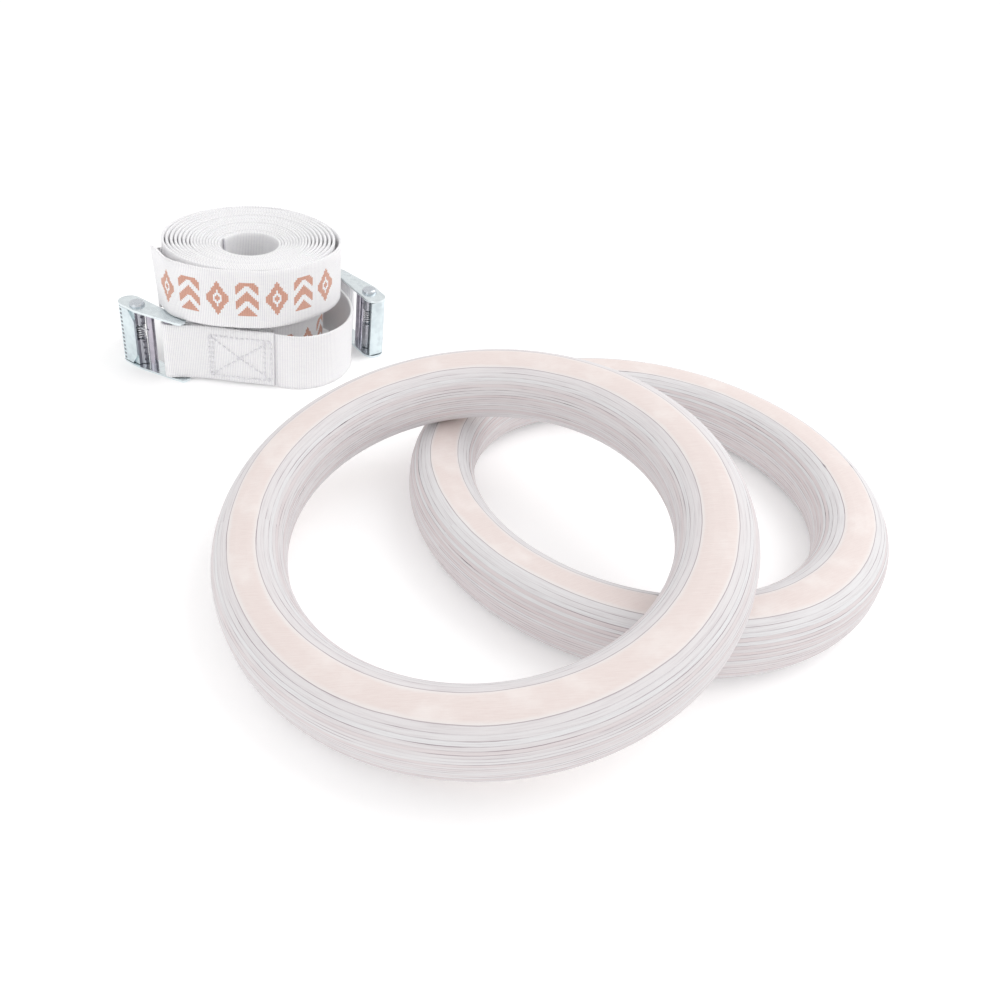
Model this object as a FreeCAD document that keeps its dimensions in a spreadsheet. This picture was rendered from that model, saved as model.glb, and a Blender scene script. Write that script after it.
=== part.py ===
# A pair of wooden gymnastics rings with their two rolled-up hanging straps and cam buckles.
# Millimetres, +Z up, everything standing on the plane Z = 0. The origin is the middle of the
# whole set's footprint: the straps lie to the left and back, the rings to the right and front.
import FreeCAD, Part
import math
import os
import Sketcher

Vector = FreeCAD.Vector
Rotation = FreeCAD.Rotation
UP = Vector(0, 0, 1)

doc = FreeCAD.newDocument("gymnastics_rings")
sheet = doc.addObject("Spreadsheet::Sheet", "sizes")

SIZES = [
    # rings
    ("ring_outer_dia", 250.0, "outside diameter of a ring"),
    ("ring_section", 35.0, "thickness of the round wooden section, both ways"),
    ("ring_edge_radius", 15.0, "rounding of the section's corners"),
    ("back_ring_x", 95.8, "centre of the ring that lies flat"),
    ("back_ring_y", -13.1, "centre of the ring that lies flat"),
    ("front_ring_x", 1.2, "centre of the ring that leans on the other"),
    ("front_ring_y", -82.6, "centre of the ring that leans on the other"),
    ("lean_angle", 12.7, "slope of the leaning ring, degrees"),
    # webbing
    ("web_width", 38.0, "width of the webbing"),
    ("web_thickness", 1.5, "thickness of the webbing"),
    ("web_gap", 0.3, "clear space between neighbouring rolls and turns"),
    ("coil_x", -138.6, "centre of both coils"),
    ("lower_coil_y", 149.4, "centre of the lower coil"),
    ("upper_coil_y", 146.9, "centre of the upper coil"),
    ("lower_coil_radius", 48.3, "outside of the lower coil"),
    ("upper_coil_radius", 51.0, "outside of the upper coil"),
    ("coil_hole_radius", 17.4, "inside of the upper coil"),
    ("lower_hole_radius", 13.4, "inside of the lower coil"),
    ("coil_dish", 4.7, "how much higher the upper coil's outer turns lie than its inner ones"),
    ("slope_head", 39.0, "height at which the upper strap's sloping turn meets its level one"),
    ("end_loop_length", 68.0, "doubled and stitched end of a strap, from its bar"),
    # cam buckles, which stand on the edge of one side plate
    ("plate_thickness", 1.5, "side plate of a buckle"),
    ("buckle_inside", 39.6, "clear width between the side plates"),
    ("plate_nose", 15.0, "from the cam pin to the rounded end of a side plate"),
    ("plate_tail", 39.0, "from the cam pin to the narrow end of a side plate"),
    ("plate_base", 7.6, "from the cam pin to the straight edge of a side plate"),
    ("plate_crown", 6.8, "from the cam pin to the outer edge of a side plate"),
    ("plate_tail_top", -0.6, "outer corner of the narrow end, seen from the pin"),
    ("plate_shoulder", 5.0, "start of the slope towards the narrow end, seen from the pin"),
    ("pin_radius", 2.2, "cam pin"),
    ("pin_head_radius", 5.0, "domed head of the cam pin"),
    ("pin_head_height", 2.4, "domed head of the cam pin"),
    ("running_gap", 0.05, "radial clearance of the moving fits"),
    ("tenon_gap", 0.02, "radial clearance of the riveted bar ends"),
    ("clamp_bar_x", 10.2, "from the cam pin to the bar that the cam grips against"),
    ("strap_bar_x", 27.5, "from the cam pin to the bar that the sewn strap loops round"),
    ("bar_drop", 1.1, "how far both bars lie below the pin"),
    ("bar_radius", 2.6, "both bars"),
    ("tenon_radius", 1.5, "riveted ends of both bars"),
    # cam lever
    ("lever_width", 38.8, "along the pin"),
    ("barrel_radius", 3.9, "round part of the cam"),
    ("cam_reach", 4.7, "toothed lip of the cam, from the pin"),
    ("lip_half", 1.4, "half the height of the toothed lip"),
    ("hood_thickness", 1.4, "thumb plate"),
    ("hood_reach", 13.9, "thumb plate's end face, from the pin"),
    ("hood_height", 6.5, "thumb plate's outer face, from the pin"),
    ("hood_drop", 5.4, "lower edge of the thumb plate's end face"),
    ("hood_corner", 5.0, "rounding of the thumb plate"),
    ("tooth_pitch", 4.4, "from one notch between teeth to the next"),
    ("tooth_notch", 1.9, "width of a notch"),
    ("tooth_count", 8.0, "notches along the lip"),
    ("spring_bay", 10.5, "length of the gap in the cam that holds the spring"),
    ("spring_height", 24.7, "middle of the spring above the lower side plate's underside"),
    ("spring_wire", 1.0, "wire of the torsion spring"),
    ("spring_turns", 8.0, "turns of the torsion spring"),
    ("spring_pitch", 1.15, "from one turn of the spring to the next"),
    ("spring_radius", 3.1, "centre line of the torsion spring's wire"),
    ("hood_chamfer", 6.0, "corners cut from the thumb plate on the strap's side"),
    # thread
    ("thread", 0.7, "thickness of a stitch"),
    ("stitch_gap", 0.12, "clear space under a stitch"),
    ("stitch_pitch", 3.4, "from one stitch to the next"),
    ("stitch_length", 2.3, "visible length of a stitch"),
    ("box_length", 40.0, "stitched box along the strap"),
    ("box_height", 30.0, "stitched box across the strap"),
]
for row, (alias, value, meaning) in enumerate(SIZES, start=1):
    sheet.set("A%d" % row, meaning)
    sheet.set("B%d" % row, str(value))
    sheet.setAlias("B%d" % row, alias)
doc.recompute()

# The loose turn of each strap, as the middle line of its webbing seen from above, after the
# buckle's strap bar. It runs anticlockwise round the coil until it meets it.
LOWER_ROUTE = [
    (-172.6, 102.2), (-156.6, 101.7), (-136.6, 99.5), (-118.6, 98.4),
    (-103.3, 96.7), (-85.1, 104.3), (-72.6, 124.7), (-71.8, 142.3), (-80.8, 166.7),
    (-100.6, 187.6), (-127.6, 197.8), (-138.6, 199.0), (-150.6, 197.6),
]
UPPER_ROUTE = [
    (-84.6, 186.9), (-96.6, 194.4), (-112.6, 200.9), (-130.6, 204.2),
    (-148.6, 203.2), (-166.6, 197.4), (-182.6, 184.4), (-192.6, 167.4), (-196.9, 148.4),
    (-196.2, 131.4), (-191.8, 118.4), (-185.1, 108.4), (-172.6, 100.3), (-155.6, 95.4),
    (-138.6, 94.8), (-123.1, 96.3), (-96.8, 112.4), (-82.5, 133.6), (-81.2, 152.9),
    (-90.6, 172.9), (-111.6, 191.4), (-125.6, 197.6), (-138.6, 199.0),
]
# Where the upper strap's turn has climbed to the height of its coil.
HEAD_OF_SLOPE = (-190.7, 116.4)
# Each buckle: cam pin's place, and the direction from its strap bar to its lever, in degrees.
BUCKLES = {"left": (-207.5, 117.4, 143.5), "right": (-61.0, 157.7, 301.5)}


def size(alias):
    return float(sheet.get(alias))


def new_body(label):
    body = doc.addObject("PartDesign::Body", label)
    body.Label = label
    return body


def new_sketch(body, role, name):
    """A sketch on one of the body's own origin planes."""
    sketch = body.newObject("Sketcher::SketchObject", name)
    plane = [item for item in body.Origin.OriginFeatures if item.Role == role][0]
    sketch.AttachmentSupport = [(plane, "")]
    sketch.MapMode = "FlatFace"
    return sketch


def fix_point(sketch, geometry, end, across, along):
    """Ties a point of the sketch to coordinates given as expressions."""
    for kind, text in (("DistanceX", across), ("DistanceY", along)):
        index = sketch.addConstraint(Sketcher.Constraint(kind, -1, 1, geometry, end, 1.0 + geometry))
        sketch.setExpression("Constraints[%d]" % index, text)


def draw_outline(sketch, corners):
    """A closed, straight-sided outline; each corner is a pair of expressions."""
    count = len(corners)
    rough = [Vector(math.cos(2 * math.pi * i / count), math.sin(2 * math.pi * i / count), 0) * 10
             for i in range(count)]
    for i in range(count):
        sketch.addGeometry(Part.LineSegment(rough[i], rough[(i + 1) % count]), False)
    for i in range(count):
        sketch.addConstraint(Sketcher.Constraint("Coincident", i, 2, (i + 1) % count, 1))
    for i, (across, along) in enumerate(corners):
        fix_point(sketch, i, 1, across, along)
    doc.recompute()


def draw_circle(sketch, radius, across="0", along="0"):
    index = sketch.addGeometry(Part.Circle(Vector(1, 1, 0), UP, 2.0), False)
    fix_point(sketch, index, 3, across, along)
    number = sketch.addConstraint(Sketcher.Constraint("Radius", index, 2.0))
    sketch.setExpression("Constraints[%d]" % number, radius)
    doc.recompute()


def pad(body, sketch, name, height, start="0"):
    """Raises a sketch drawn on the XY plane, from a height of start."""
    sketch.setExpression("AttachmentOffset.Base.z", start)
    feature = body.newObject("PartDesign::Pad", name)
    feature.Profile = sketch
    feature.setExpression("Length", height)
    doc.recompute()
    return feature


def cut(body, sketch, name, height, start="0", forwards=True):
    """Cuts along the sketch's normal, or against it, and makes sure that something went."""
    before = body.Shape.Volume
    sketch.setExpression("AttachmentOffset.Base.z", start)
    feature = body.newObject("PartDesign::Pocket", name)
    feature.Profile = sketch
    feature.Reversed = forwards
    feature.setExpression("Length", height)
    doc.recompute()
    if body.Shape.Volume >= before:
        raise RuntimeError(name + " removed nothing")
    return feature


def revolve(body, sketch, name):
    feature = body.newObject("PartDesign::Revolution", name)
    feature.Profile = sketch
    feature.ReferenceAxis = (sketch, ["V_Axis"])
    feature.Angle = 360
    doc.recompute()
    return feature


def round_edges(body, base, wanted, radius, name):
    """Fillets the edges of the newest feature that wanted() picks."""
    names = ["Edge%d" % (i + 1) for i, edge in enumerate(base.Shape.Edges) if wanted(edge)]
    if not names:
        raise RuntimeError(name + " found no edge")
    feature = body.newObject("PartDesign::Fillet", name)
    feature.Base = (base, names)
    feature.setExpression("Radius", radius)
    doc.recompute()
    return feature


# ---------------------------------------------------------------- rings

def make_ring(label):
    """A ring of rounded square section about Z, half above and half below Z = 0."""
    body = new_body(label)
    sketch = new_sketch(body, "XZ_Plane", label + "_section")
    inner = "sizes.ring_outer_dia / 2 - sizes.ring_section"
    outer = "sizes.ring_outer_dia / 2"
    half = "sizes.ring_section / 2"
    draw_outline(sketch, [(inner, "-" + half), (outer, "-" + half), (outer, half), (inner, half)])
    blank = revolve(body, sketch, label + "_blank")
    round_edges(body, blank, lambda edge: edge.Length > 100, "sizes.ring_edge_radius",
                label + "_rounding")
    return body


def place_rings(back, front):
    """Lays one ring flat and leans the other on it, its far edge on the ground."""
    back.Placement.Base = Vector(size("back_ring_x"), size("back_ring_y"), size("ring_section") / 2)
    towards = Vector(size("back_ring_x") - size("front_ring_x"),
                     size("back_ring_y") - size("front_ring_y"), 0)
    hinge_line = towards.cross(UP)
    lean = math.radians(size("lean_angle"))
    corner = size("ring_edge_radius")
    flat = size("ring_section") / 2 - corner
    middle = size("ring_outer_dia") / 2 - size("ring_section") / 2
    below = corner + flat * (math.cos(lean) + math.sin(lean))
    height = middle * math.sin(lean) + below
    front.Placement = FreeCAD.Placement(
        Vector(size("front_ring_x"), size("front_ring_y"), height),
        Rotation(hinge_line, size("lean_angle")))


# ---------------------------------------------------------------- webbing

def make_lower_coil():
    body = new_body("lower_strap_coil")
    sketch = new_sketch(body, "XY_Plane", "lower_coil_plan")
    draw_circle(sketch, "sizes.lower_coil_radius")
    draw_circle(sketch, "sizes.lower_hole_radius")
    pad(body, sketch, "lower_coil_web", "sizes.web_width")
    body.Placement.Base = Vector(size("coil_x"), size("lower_coil_y"), 0)
    return body


def make_upper_coil():
    """Its turns climb outwards, so both end faces are shallow cones."""
    body = new_body("upper_strap_coil")
    sketch = new_sketch(body, "XZ_Plane", "upper_coil_section")
    low = "sizes.web_width + sizes.web_gap"
    draw_outline(sketch, [
        ("sizes.coil_hole_radius", low),
        ("sizes.upper_coil_radius", low + " + sizes.coil_dish"),
        ("sizes.upper_coil_radius", low + " + sizes.coil_dish + sizes.web_width"),
        ("sizes.coil_hole_radius", low + " + sizes.web_width"),
    ])
    revolve(body, sketch, "upper_coil_web")
    body.Placement.Base = Vector(size("coil_x"), size("upper_coil_y"), 0)
    return body


def buckle_placement(side):
    x, y, turned = BUCKLES[side]
    return FreeCAD.Placement(Vector(x, y, 0), Rotation(UP, turned))


def route_curve(side, points):
    """The webbing's middle line, from the middle of the buckle's strap bar."""
    bar = buckle_placement(side).multVec(Vector(-size("strap_bar_x"), -size("bar_drop"), 0))
    curve = Part.BSplineCurve()
    curve.interpolate([bar] + [Vector(x, y, 0) for x, y in points])
    return curve


def beside(curve, distance, offset):
    """The point at this distance along the curve, moved sideways; outwards is positive."""
    here = curve.parameterAtDistance(distance, curve.FirstParameter)
    along = curve.tangent(here)[0]
    return curve.value(here) + Vector(along.y, -along.x, 0) * offset


def webbing_piece(curve, start, end, inner, outer, bottom, height):
    """An upright band that follows the curve, between two sideways offsets."""
    steps = max(6, int(abs(end - start) / 9))
    places = [start + (end - start) * i / steps for i in range(steps + 1)]
    sides = []
    for offset in (inner, outer):
        spline = Part.BSplineCurve()
        spline.interpolate([beside(curve, place, offset) for place in places])
        sides.append(spline.toShape())
    ends = [Part.makeLine(beside(curve, place, inner), beside(curve, place, outer))
            for place in (start, end)]
    outline = Part.Wire([sides[0], ends[1], sides[1].reversed(), ends[0]])
    band = Part.Face(outline).extrude(UP * height)
    band.translate(UP * bottom)
    return band


def add_feature(label, shape):
    feature = doc.addObject("Part::Feature", label)
    feature.Label = label
    feature.Shape = shape
    return feature


def make_end_loop(label, curve):
    """The doubled end: one layer outside the other, and round the buckle's strap bar."""
    half = size("web_thickness") / 2
    bottom = size("plate_thickness") + (size("buckle_inside") - size("web_width")) / 2
    hole = size("bar_radius") + size("running_gap")
    around = Part.makeCylinder(hole + 2 * half, size("web_width"))
    doubled = webbing_piece(curve, hole, size("end_loop_length"), -half, 3 * half, 0,
                            size("web_width"))
    shape = around.fuse(doubled.translated(-curve.value(curve.FirstParameter)))
    shape = shape.cut(Part.makeCylinder(hole, size("web_width")))
    feature = add_feature(label, shape.removeSplitter())
    feature.Placement.Base = curve.value(curve.FirstParameter) + UP * bottom
    return feature


def make_lower_turn(curve):
    half = size("web_thickness") / 2
    band = webbing_piece(curve, size("end_loop_length"), curve.length(), -half, half, 0,
                         size("web_width"))
    return add_feature("lower_strap_loose_turn", band)


def split_distance(curve):
    """How far along the upper strap its slope ends."""
    return curve.length(curve.FirstParameter, curve.parameter(Vector(*HEAD_OF_SLOPE, 0)))


def make_upper_turns(curve):
    """A level turn round the front, and a sloping one that climbs behind from the buckle."""
    half = size("web_thickness") / 2
    width = size("web_width")
    low_end = size("plate_thickness") + (size("buckle_inside") - width) / 2
    coil_level = width + size("web_gap") + size("coil_dish")
    middle = split_distance(curve)
    front = webbing_piece(curve, middle, curve.length(), -half, half, coil_level, width)
    tall = webbing_piece(curve, size("end_loop_length"), middle - size("web_gap"), -half, half,
                         0, coil_level + width)
    foot = beside(curve, size("end_loop_length"), 0)
    head = beside(curve, middle, 0)
    run = head - foot
    slope = math.atan2(size("slope_head") - low_end, run.Length)
    reach = size("ring_outer_dia")
    slab = Part.makeBox(2 * reach, 2 * reach, width * math.cos(slope))
    slab.translate(Vector(-reach, -reach, 0))
    sideways = UP.cross(run)
    slab.Placement = FreeCAD.Placement(foot + UP * low_end, Rotation(run, sideways, UP, "XYZ")).multiply(
        FreeCAD.Placement(Vector(0, 0, 0), Rotation(Vector(0, 1, 0), -math.degrees(slope)))).multiply(
        slab.Placement)
    back = tall.common(slab)
    return (add_feature("upper_strap_front_turn", front),
            add_feature("upper_strap_back_turn", back.Solids[0] if back.Solids else back))


def make_stitching(label, curve):
    """A box with a cross in it: each stitch a short bar on the webbing's outer face."""
    bottom = size("plate_thickness") + (size("buckle_inside") - size("web_width")) / 2
    face = size("web_thickness") * 1.5 + size("stitch_gap")
    far = size("end_loop_length") - 2
    near = far - size("box_length")
    low = bottom + (size("web_width") - size("box_height")) / 2
    high = low + size("box_height")
    lines = [((near, low), (far, low)), ((near, high), (far, high)), ((near, low), (near, high)),
             ((far, low), (far, high)), ((near, low), (far, high)), ((near, high), (far, low))]
    thread = size("thread")
    stitches = []
    for (start, bottom_end), (end, top_end) in lines:
        length = math.hypot(end - start, top_end - bottom_end)
        count = int(length / size("stitch_pitch"))
        for i in range(count):
            share = (i + 0.5) / count
            rise = math.degrees(math.atan2(top_end - bottom_end, end - start))
            place = start + (end - start) * share
            here = beside(curve, place, face)
            ahead = beside(curve, place + 1, face) - here
            bar = Part.makeBox(size("stitch_length"), thread / 2, thread)
            bar.translate(Vector(-size("stitch_length") / 2, -thread / 2, -thread / 2))
            bar.rotate(Vector(0, 0, 0), Vector(0, 1, 0), -rise)
            bar.rotate(Vector(0, 0, 0), UP, math.degrees(math.atan2(ahead.y, ahead.x)))
            bar.translate(here + UP * (bottom_end + (top_end - bottom_end) * share))
            stitches.append(bar)
    return add_feature(label, Part.makeCompound(stitches))


# ---------------------------------------------------------------- cam buckles
# Buckle pieces are made about their cam pin: +X to the thumb end, +Y outwards, +Z along the pin.

TOP_PLATE_BASE = "sizes.plate_thickness + sizes.buckle_inside"


def make_side_plate(label, height):
    body = new_body(label)
    sketch = new_sketch(body, "XY_Plane", label + "_outline")
    draw_outline(sketch, [
        ("sizes.plate_nose", "-sizes.plate_base"),
        ("sizes.plate_nose", "sizes.plate_crown"),
        ("-sizes.plate_shoulder", "sizes.plate_crown"),
        ("-sizes.plate_tail", "sizes.plate_tail_top"),
        ("-sizes.plate_tail", "-sizes.plate_base"),
    ])
    blank = pad(body, sketch, label + "_blank", "sizes.plate_thickness", height)
    nose = size("plate_nose")
    tail = -size("plate_tail")

    def upright_at(edge, x):
        ends = [vertex.Point for vertex in edge.Vertexes]
        return len(ends) == 2 and all(abs(end.x - x) < 0.01 for end in ends) \
            and abs(ends[0].y - ends[1].y) < 0.01

    rounded = round_edges(body, blank, lambda edge: upright_at(edge, nose),
                          "(sizes.plate_base + sizes.plate_crown) / 2 - 0.2", label + "_nose")
    round_edges(body, rounded, lambda edge: upright_at(edge, tail), "2.5", label + "_tail")
    holes = new_sketch(body, "XY_Plane", label + "_holes")
    draw_circle(holes, "sizes.pin_radius + sizes.tenon_gap")
    draw_circle(holes, "sizes.tenon_radius + sizes.tenon_gap", "-sizes.clamp_bar_x",
                "-sizes.bar_drop")
    draw_circle(holes, "sizes.tenon_radius + sizes.tenon_gap", "-sizes.strap_bar_x",
                "-sizes.bar_drop")
    cut(body, holes, label + "_drilling", "sizes.plate_thickness", height)
    return body


def make_bar(label, place):
    """A round bar with a thinner riveted end in each side plate."""
    body = new_body(label)
    shaft = new_sketch(body, "XY_Plane", label + "_shaft_plan")
    draw_circle(shaft, "sizes.bar_radius", "-" + place, "-sizes.bar_drop")
    pad(body, shaft, label + "_shaft", "sizes.buckle_inside", "sizes.plate_thickness")
    tenon = new_sketch(body, "XY_Plane", label + "_tenon_plan")
    draw_circle(tenon, "sizes.tenon_radius", "-" + place, "-sizes.bar_drop")
    pad(body, tenon, label + "_tenons", "sizes.buckle_inside + 2 * sizes.plate_thickness")
    return body


def make_cam_pin(label):
    """A rivet: domed head on the upper side plate, flush below."""
    body = new_body(label)
    shank = new_sketch(body, "XY_Plane", label + "_shank_plan")
    draw_circle(shank, "sizes.pin_radius")
    pad(body, shank, label + "_shank", "sizes.buckle_inside + 2 * sizes.plate_thickness")
    head = new_sketch(body, "XY_Plane", label + "_head_plan")
    draw_circle(head, "sizes.pin_head_radius")
    raised = pad(body, head, label + "_head", "sizes.pin_head_height",
                 TOP_PLATE_BASE + " + sizes.plate_thickness")
    top = size("plate_thickness") * 2 + size("buckle_inside") + size("pin_head_height")
    round_edges(body, raised, lambda edge: abs(edge.BoundBox.ZMin - top) < 0.01,
                "sizes.pin_head_height - 0.3", label + "_dome")
    return body


def make_lever(label):
    """The toothed cam and its thumb plate, in one piece."""
    body = new_body(label)
    low = "(sizes.buckle_inside - sizes.lever_width) / 2 + sizes.plate_thickness"
    barrel = new_sketch(body, "XY_Plane", label + "_barrel_plan")
    draw_circle(barrel, "sizes.barrel_radius")
    pad(body, barrel, label + "_barrel", "sizes.lever_width", low)
    lip = new_sketch(body, "XY_Plane", label + "_lip_plan")
    draw_outline(lip, [
        ("0", "-sizes.barrel_radius + 0.4"),
        ("0", "sizes.barrel_radius - 0.4"),
        ("-sizes.cam_reach", "sizes.lip_half"),
        ("-sizes.cam_reach", "-sizes.lip_half"),
    ])
    pad(body, lip, label + "_lip", "sizes.lever_width", low)
    neck = new_sketch(body, "XY_Plane", label + "_neck_plan")
    draw_outline(neck, [
        ("-0.7 * sizes.barrel_radius", "0"),
        ("0.9 * sizes.barrel_radius", "0"),
        ("0.9 * sizes.barrel_radius", "sizes.hood_height - sizes.hood_thickness / 2"),
        ("-0.7 * sizes.barrel_radius", "sizes.hood_height - sizes.hood_thickness / 2"),
    ])
    pad(body, neck, label + "_neck", "sizes.lever_width", low)
    hood = new_sketch(body, "XY_Plane", label + "_hood_plan")
    draw_outline(hood, [
        ("-0.8 * sizes.barrel_radius", "sizes.hood_height"),
        ("-0.8 * sizes.barrel_radius", "sizes.hood_height - sizes.hood_thickness"),
        ("sizes.hood_reach - sizes.hood_thickness", "sizes.hood_height - sizes.hood_thickness"),
        ("sizes.hood_reach - sizes.hood_thickness", "-sizes.hood_drop"),
        ("sizes.hood_reach", "-sizes.hood_drop"),
        ("sizes.hood_reach", "sizes.hood_height"),
    ])
    raised = pad(body, hood, label + "_hood", "sizes.lever_width", low)

    def corner_edge(edge, x, y):
        box = edge.BoundBox
        return (box.ZLength > size("lever_width") - 1 and abs(box.XMin - x) < 0.01
                and abs(box.XMax - x) < 0.01 and abs(box.YMin - y) < 0.01)

    reach = size("hood_reach")
    height = size("hood_height")
    skin = size("hood_thickness")
    outer = round_edges(body, raised, lambda edge: corner_edge(edge, reach, height),
                        "sizes.hood_corner", label + "_outer_bend")
    round_edges(body, outer, lambda edge: corner_edge(edge, reach - skin, height - skin),
                "sizes.hood_corner - sizes.hood_thickness", label + "_inner_bend")
    for name, corner, inward in (("upper", "sizes.plate_thickness + sizes.buckle_inside", "-"),
                                 ("lower", "sizes.plate_thickness", "+")):
        chamfer = new_sketch(body, "XZ_Plane", label + "_" + name + "_corner")
        edge = "-0.8 * sizes.barrel_radius - 0.5"
        draw_outline(chamfer, [
            (edge, corner),
            (edge + " + sizes.hood_chamfer", corner),
            (edge, corner + inward + "1.4 * sizes.hood_chamfer"),
        ])
        cut(body, chamfer, label + "_" + name + "_chamfer", "2 * sizes.hood_thickness",
            "sizes.hood_thickness - sizes.hood_height", False)
    bore = new_sketch(body, "XY_Plane", label + "_bore_plan")
    draw_circle(bore, "sizes.pin_radius + sizes.running_gap")
    cut(body, bore, label + "_bore", "sizes.buckle_inside", "sizes.plate_thickness")
    bay = new_sketch(body, "XY_Plane", label + "_bay_plan")
    side = "sizes.cam_reach + 1"
    draw_outline(bay, [
        ("-(" + side + ")", "-(" + side + ")"),
        (side, "-(" + side + ")"),
        (side, "sizes.hood_height - sizes.hood_thickness - 0.2"),
        ("-(" + side + ")", "sizes.hood_height - sizes.hood_thickness - 0.2"),
    ])
    cut(body, bay, label + "_bay", "sizes.spring_bay", "sizes.spring_height - sizes.spring_bay / 2")
    notch = new_sketch(body, "XY_Plane", label + "_notch_plan")
    draw_outline(notch, [
        ("-sizes.cam_reach - 1", "-sizes.lip_half - 1"),
        ("-sizes.barrel_radius - 0.2", "-sizes.lip_half - 1"),
        ("-sizes.barrel_radius - 0.2", "sizes.lip_half + 1"),
        ("-sizes.cam_reach - 1", "sizes.lip_half + 1"),
    ])
    first = cut(body, notch, label + "_notch", "sizes.tooth_notch", low + " + 2.2")
    before = body.Shape.Volume
    teeth = body.newObject("PartDesign::LinearPattern", label + "_teeth")
    teeth.Originals = [first]
    teeth.Direction = (notch, ["N_Axis"])
    teeth.setExpression("Length", "sizes.tooth_pitch * (sizes.tooth_count - 1)")
    teeth.Occurrences = int(size("tooth_count"))
    body.Tip = teeth
    doc.recompute()
    if body.Shape.Volume >= before:
        raise RuntimeError(label + " has no row of teeth")
    return body


def make_spring(label):
    """Torsion spring round the pin: one leg rests on the clamp bar, one under the thumb plate."""
    wire = size("spring_wire")
    radius = size("spring_radius")
    pitch = size("spring_pitch")
    turns = int(size("spring_turns"))
    low = size("spring_height") - (turns - 1) * pitch / 2
    top = low + (turns - 1) * pitch
    shape = Part.makeTorus(radius, wire / 2, Vector(0, 0, low), UP)
    for turn in range(1, turns):
        height = low + turn * pitch
        shape = shape.fuse(Part.makeTorus(radius, wire / 2, Vector(0, 0, height), UP))
        step = Part.makeCylinder(0.35 * wire, pitch, Vector(0, -radius, height - pitch), UP)
        shape = shape.fuse(step)
    over_bar = size("bar_radius") - size("bar_drop") + wire / 2 + 0.1
    past_bar = -(size("clamp_bar_x") + 1.0)
    leg = 0.88 * wire
    shape = shape.fuse(leg_between(Vector(0, radius, top), Vector(past_bar, over_bar, top), leg))
    under_hood = size("hood_height") - size("hood_thickness") - wire / 2 - 0.3
    shape = shape.fuse(leg_between(Vector(0, radius, low), Vector(7.5, under_hood, low), leg))
    return add_feature(label, shape)


def leg_between(start, end, wire):
    run = end - start
    return Part.makeCylinder(wire / 2, run.Length, start, run)


def make_buckle(side):
    names = {
        "top": side + "_buckle_upper_plate",
        "bottom": side + "_buckle_lower_plate",
        "clamp": side + "_buckle_clamp_bar",
        "strap": side + "_buckle_strap_bar",
        "pin": side + "_buckle_cam_pin",
        "lever": side + "_buckle_cam_lever",
        "spring": side + "_buckle_spring",
    }
    pieces = [
        make_side_plate(names["bottom"], "0"),
        make_side_plate(names["top"], TOP_PLATE_BASE),
        make_bar(names["clamp"], "sizes.clamp_bar_x"),
        make_bar(names["strap"], "sizes.strap_bar_x"),
        make_cam_pin(names["pin"]),
        make_lever(names["lever"]),
        make_spring(names["spring"]),
    ]
    for piece in pieces:
        piece.Placement = buckle_placement(side)
    return pieces


# ---------------------------------------------------------------- the whole set

def build():
    back = make_ring("back_ring")
    front = make_ring("front_ring")
    place_rings(back, front)
    lower = route_curve("left", LOWER_ROUTE)
    upper = route_curve("right", UPPER_ROUTE)
    pieces = [back, front, make_lower_coil(), make_upper_coil(), make_lower_turn(lower)]
    pieces += make_upper_turns(upper)
    for level, curve in (("lower", lower), ("upper", upper)):
        pieces.append(make_end_loop(level + "_strap_end_loop", curve))
        pieces.append(make_stitching(level + "_strap_stitching", curve))
    for side in BUCKLES:
        pieces += make_buckle(side)
    return pieces


def check_and_export(pieces):
    doc.recompute()
    for thing in doc.Objects:
        if "Invalid" in thing.State or "Error" in thing.State:
            raise RuntimeError("failed: " + thing.Label)
    os.makedirs("parts", exist_ok=True)
    for piece in pieces:
        shape = piece.Shape
        if shape.isNull() or not shape.isValid() or not shape.Solids:
            raise RuntimeError("bad shape: " + piece.Label)
        shape.exportStep("parts/%s.step" % piece.Label)
        box = shape.BoundBox
        print("%-30s %9.1f mm3  x %7.1f %7.1f  y %7.1f %7.1f  z %6.1f %6.1f" % (
            piece.Label, shape.Volume, box.XMin, box.XMax, box.YMin, box.YMax, box.ZMin, box.ZMax))


check_and_export(build())
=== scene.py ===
# Looks for the gymnastics rings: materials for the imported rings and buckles, and the two rolled
# straps, woven, stitched and modelled turn by turn. Metres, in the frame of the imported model.
import math
import random

import bpy
import numpy as np
from mathutils import Matrix, Vector


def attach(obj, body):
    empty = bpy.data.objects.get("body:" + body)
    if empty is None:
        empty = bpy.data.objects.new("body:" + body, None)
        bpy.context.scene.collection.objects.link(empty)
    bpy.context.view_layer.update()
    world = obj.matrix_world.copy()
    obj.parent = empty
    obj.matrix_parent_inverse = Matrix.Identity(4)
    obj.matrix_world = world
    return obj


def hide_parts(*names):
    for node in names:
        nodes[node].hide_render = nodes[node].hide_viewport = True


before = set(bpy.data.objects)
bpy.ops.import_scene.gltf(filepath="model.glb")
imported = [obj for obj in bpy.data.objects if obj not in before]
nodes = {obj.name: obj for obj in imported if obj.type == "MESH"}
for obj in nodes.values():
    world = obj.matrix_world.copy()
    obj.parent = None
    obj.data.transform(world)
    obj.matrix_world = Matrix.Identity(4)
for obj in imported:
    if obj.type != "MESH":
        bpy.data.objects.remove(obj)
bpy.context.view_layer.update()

MM = 0.001

# ---------------------------------------------------------------- sizes
RING_OUTER = 0.125
BACK_RING = Vector((0.0958, -0.0131, 0.0175))
FRONT_RING = Vector((0.0012, -0.0826, 0.04162))
LEAN = math.radians(12.7)
LEAN_AXIS = Vector((69.5, -94.6, 0)).normalized()
PLY = 1.394 * MM                  # distance between glue lines
GLUE_LINES = 12                   # on each side of the middle one
WASHED_FROM = 8.2                 # plies from the middle where the wash gets fuller
WASHED_TO = 10.8

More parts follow.
